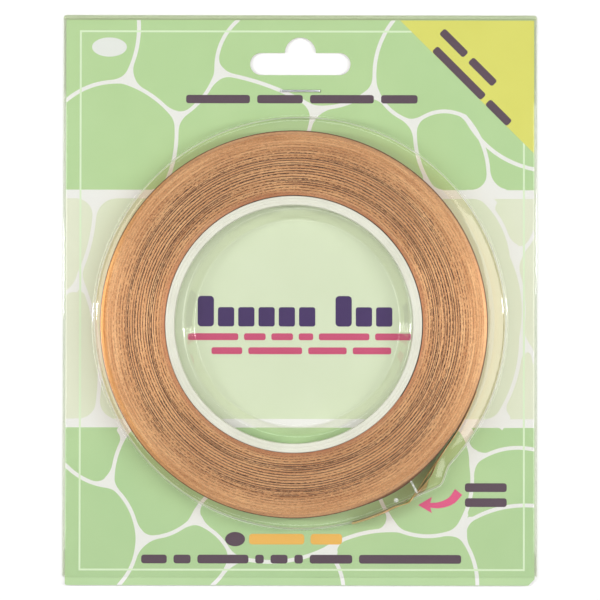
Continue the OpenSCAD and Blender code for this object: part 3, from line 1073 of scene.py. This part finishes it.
def white_print():
    """The leading and the two bands, with each corner between two lines rounded off."""
    white = Ink("print_white", WHITE_INK, 0.010)
    base = white.z
    lines = [bowed(*run) for run in LEADING]
    edges = [[np.full(len(line), LINE_HALF), np.full(len(line), LINE_HALF)] for line in lines]
    joints = {}
    for i, (start, end, _) in enumerate(LEADING):
        for place, line, side in ((start, lines[i], 0), (end, lines[i][::-1], 1)):
            ahead = line[int(np.searchsorted(distances(line), 2.0))] - line[0]
            joints.setdefault(place, []).append((math.atan2(ahead[1], ahead[0]) % math.tau, i, side))
    for place, ends in joints.items():
        if place[1] in (BAND_UP, BAND_DOWN):
            ends += [(0.0, -1, 0), (math.pi, -1, 0)]
        ends.sort()
        for (angle, i, side), (later, j, far_side) in zip(ends, ends[1:] + ends[:1]):
            turn = (later - angle) % math.tau
            here, there = (BAND_HALF if k < 0 else LINE_HALF for k in (i, j))
            for k, edge, at_end, half, other in ((i, side, side, here, there),
                                                 (j, 1 - far_side, far_side, there, here)):
                if k < 0 or len(ends) < 2:
                    continue
                along = distances(lines[k])
                away = along[-1] - along if at_end else along
                edges[k][edge] = np.maximum(edges[k][edge], flared(away, turn, half, other))
    levels = free_levels(LEADING)
    for line, (left, right), level in zip(lines, edges, levels):
        white.z = base + level * INK_STEP
        white.stroke(line, left, right)
    for place, ends in joints.items():
        white.z = base + (max(levels) + 1) * INK_STEP
        white.disc(place, LINE_HALF)
    for middle in (BAND_UP, BAND_DOWN):
        white.z = base + (max(levels) + 2) * INK_STEP
        white.box(LEFT, middle - BAND_HALF, RIGHT, middle + BAND_HALF)
    return white.finish()


def frame_line():
    """The thin rule round the card's edge."""
    rule = Ink("print_rule", RULE_INK, 0.028)
    x0, x1, y0, y1, t = -70.9, 72.2, -86.9, 86.6, 0.6
    rule.box(x0, y0, x1, y0 + t)
    rule.box(x0, y1 - t, x1, y1)
    rule.box(x0, y0 + t, x0 + t, y1 - t)
    rule.box(x1 - t, y0 + t, x1, y1 - t)
    return rule.finish()


def coloured_print():
    """Bars and tiles where the words stand, and the plain shapes beside them."""
    corner = Ink("print_corner", YELLOW_INK, 0.034)
    plum, title, crimson, orange = (Ink(name, colour, 0.040) for name, colour in (
        ("print_plum", PLUM_INK), ("print_title", PURPLE_INK),
        ("print_crimson", CRIMSON_INK), ("print_orange", ORANGE_INK)))
    badge, arrow = Ink("print_badge", BADGE_INK, 0.034), Ink("print_arrow", PINK_INK, 0.040)
    corner.shape([(32, TOP), (RIGHT, 47), (RIGHT, TOP)])
    plum.words(-36.7, 37.7, 64.5, 2.7, (7, 5, 7, 4))
    plum.words(0, 24, 0, 2.6, (4, 4), -45, (45.5, 86.5))
    plum.words(0, 34, 0, 2.6, (9, 4), -45, (43.2, 80.8))
    plum.words(-50.8, 51.8, -83.2, 2.8, (3, 2, 6, 1, 2, 1, 5, 12))
    plum.words(53, 66.4, -60.2, 2.8, (4,))
    plum.words(53, 66.4, -65.0, 2.8, (4,))
    plum.disc((-20.7, -76.8), 3.2, 2.3)
    title.tiles(-33.5, 30.3, -8.6, (9.8, 6.2), (6, 3))
    crimson.words(-36, 35.7, -11.9, 2.2, (7, 3, 3, 2, 7, 5))
    crimson.words(-28.4, 29.3, -16.4, 2.2, (4, 7, 5, 5))
    orange.words(-16.2, 13.6, -76.8, 3.4, (7, 4))
    badge.disc((-61.4, 81.2), 5.6, 3.1, 48)
    shaft = smooth_line([(51.0, -61.6), (48.6, -64.4), (45.0, -65.8), (41.6, -65.9)], 6)
    arrow.stroke(shaft, np.linspace(1.5, 0.75, len(shaft)))
    arrow.shape([(38.0, -65.8), (42.4, -68.4), (41.7, -65.9), (42.4, -63.2)])
    for layer in (corner, plum, title, crimson, orange, badge, arrow):
        layer.finish()


white_print()
frame_line()
coloured_print()


# ---------------- staple

def staple_wire():
    """Flat wire: a crown with rounded shoulders, two legs through the card, ends clinched behind it."""
    y = (STAPLE_LOW[1] + STAPLE_HIGH[1]) / 2
    half, top, low = (STAPLE_HIGH[0] - STAPLE_LOW[0]) / 2 - 0.2, STAPLE_HIGH[2] - 0.2, STAPLE_LOW[2] + 0.2
    clinch = half - 5.0
    route = round_path([[-clinch, low], [-half, low], [-half, top], [half, top], [half, low], [clinch, low]],
                       [0.35] * 4, 6)
    w, t, bevel = 0.34, 0.19, 0.08
    section = [(-w, -t + bevel), (-w + bevel, -t), (w - bevel, -t), (w, -t + bevel),
               (w, t - bevel), (w - bevel, t), (-w + bevel, t), (-w, t - bevel)]
    line = np.array(route)
    side = normals_2d(line)
    rings = []
    for (x, z), (nx, nz) in zip(line, side):
        sag = 0.05 * wave(x / 3, 4.0)
        rings.append([(x + nx * b, y + a + sag, z + nz * b) for a, b in section])
    return finished(mesh_piece("staple_wire", *lofted(rings), [steel_material()]), 40)


wire = staple_wire()
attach(wire, "pack")
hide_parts("staple")


# ---------------- floor, lights and camera

# The soft lights: place and size in metres, power in watts
WORLD_LIGHT = 0.255
LIGHTS = (
    ("low left", (-0.60, 0.03, 0.50), (0.05, 0.35), 1.8),
    ("low right", (0.60, 0.05, 0.50), (0.05, 0.35), 1.8),
    ("high left", (-0.44, 0.0, 0.90), (0.3, 0.6), 1.65),
    ("high right", (0.44, 0.0, 0.90), (0.3, 0.6), 1.65),
    ("high far", (0.0, 0.40, 0.90), (0.6, 0.3), 1.15),
    ("high near", (0.0, -0.40, 0.90), (0.6, 0.3), 1.0),
)


def studio():
    """A pale floor just under the pack, an even sky and the soft lights."""
    half, level = 1500, -0.08
    corners = ((-half, -half), (half, -half), (half, half), (-half, half))
    floor = mesh_piece("floor", [(x, y, level) for x, y in corners], [(0, 1, 2, 3)], [floor_material()],
                       smooth=False)
    world = bpy.data.worlds.new("studio")
    world.use_nodes = True
    background = world.node_tree.nodes["Background"]
    background.inputs["Color"].default_value = (1, 1, 1, 1)
    background.inputs["Strength"].default_value = WORLD_LIGHT
    bpy.context.scene.world = world
    for name, place, size, power in LIGHTS:
        light = bpy.data.lights.new(name, "AREA")
        light.shape, light.size, light.size_y, light.energy = "RECTANGLE", *size, power
        lamp = bpy.data.objects.new(name, light)
        lamp.location = place
        lamp.rotation_euler = (-Vector(place)).to_track_quat("-Z", "Y").to_euler()
        bpy.context.scene.collection.objects.link(lamp)


def camera():
    """Straight over the pack and a touch below it, so that its lower edge is a little nearer."""
    distance, view_w, tilt, roll_angle, sensor_w = 0.95, 0.1927, 1.0, 0.085, 36
    data = bpy.data.cameras.new("camera")
    data.sensor_width = sensor_w
    data.lens = sensor_w * distance / view_w
    lens = bpy.data.objects.new("camera", data)
    bpy.context.scene.collection.objects.link(lens)
    target = Vector((0.0, -0.00008, CARD_TOP * MM))
    back = Vector((0, -math.sin(math.radians(tilt)), math.cos(math.radians(tilt))))
    lens.location = target + back * distance
    lens.rotation_mode = "QUATERNION"
    lens.rotation_quaternion = (-back).to_track_quat("-Z", "Y")
    lens.rotation_mode = "XYZ"
    lens.rotation_euler.rotate_axis("Z", math.radians(roll_angle))
    bpy.context.scene.camera = lens


studio()
camera()
bpy.context.scene.view_settings.view_transform = "Standard"
bpy.context.scene.cycles.transparent_max_bounces = 24
